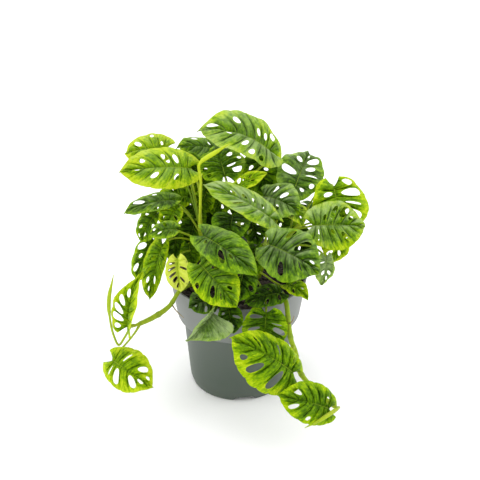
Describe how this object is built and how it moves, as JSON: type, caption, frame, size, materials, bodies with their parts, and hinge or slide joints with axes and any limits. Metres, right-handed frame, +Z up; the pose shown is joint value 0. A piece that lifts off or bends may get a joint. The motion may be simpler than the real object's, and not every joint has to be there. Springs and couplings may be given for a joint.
{
  "type": "potted monstera adansonii",
  "caption": "Swiss-cheese plant with pierced heart-shaped leaves on trailing stems, in a tapered grey-green plastic grow pot.",
  "frame": {"origin": "centre of the underside of the pot's foot", "axes": "+Z up along the pot's axis, front of the plant towards -Y"},
  "size_m": [0.322, 0.3177, 0.3473],
  "materials": {
    "pot": "matt grey-green moulded plastic, lighter where it catches the light",
    "soil": "dark potting mix with bark chips",
    "stem": "smooth yellow-green stem, satin",
    "leaf": "satin green blade with yellow-green margins and pale veins",
    "young_leaf": "pale yellow-green unopened leaf, satin",
    "yellow_leaf": "ageing yellow leaf with brown round its holes"
  },
  "bodies": {
    "root": {"pot": "pot", "soil": "soil", "stem_crown": "stem", "stem_left": "stem", "stem_right": "stem", "stem_back": "stem", "stem_front": "stem", "stem_middle": "stem", "vine_right": "stem", "vine_left": "stem", "leaf_crown": "leaf", "leaf_crown_left": "leaf", "leaf_crown_under": "leaf", "leaf_crown_small": "leaf", "leaf_upper_left_back": "leaf", "leaf_upper_left": "leaf", "leaf_upper_right": "leaf", "leaf_right_heart": "leaf", "leaf_right_low": "leaf", "leaf_right_under": "leaf", "leaf_middle_long": "leaf", "leaf_middle_folded": "leaf", "leaf_middle_left": "leaf", "leaf_front_left": "leaf", "leaf_front_dark": "leaf", "leaf_middle_right": "leaf", "leaf_right_inner": "leaf", "leaf_right_crumpled": "leaf", "leaf_right_olive": "leaf", "leaf_front_right": "leaf", "leaf_rim_dark": "leaf", "leaf_middle_hanging": "leaf", "leaf_yellow": "yellow_leaf", "leaf_left_hanging": "leaf", "leaf_left_outer": "leaf", "leaf_left_dark": "leaf", "leaf_left_middle": "leaf", "leaf_left_edge": "leaf", "leaf_left_level": "leaf", "leaf_vine_left_upper": "leaf", "leaf_vine_left_heart": "leaf", "leaf_vine_right_bright": "leaf", "leaf_vine_right_end": "leaf", "leaf_front_folded": "leaf", "leaf_rim_left": "leaf", "leaf_rim_front": "leaf", "leaf_rim_green": "leaf", "leaf_back_high": "leaf", "leaf_back_left_high": "leaf", "leaf_back_left": "leaf", "leaf_back_middle": "leaf", "leaf_back_right": "leaf", "leaf_back_low_left": "leaf", "leaf_back_low_middle": "leaf", "leaf_back_low_right": "leaf", "shoot_inner_left": "leaf", "shoot_inner_right": "leaf", "rolled_leaf_top": "young_leaf", "rolled_leaf_left": "young_leaf", "rolled_leaf_right": "young_leaf"}
  },
  "joints": []
}
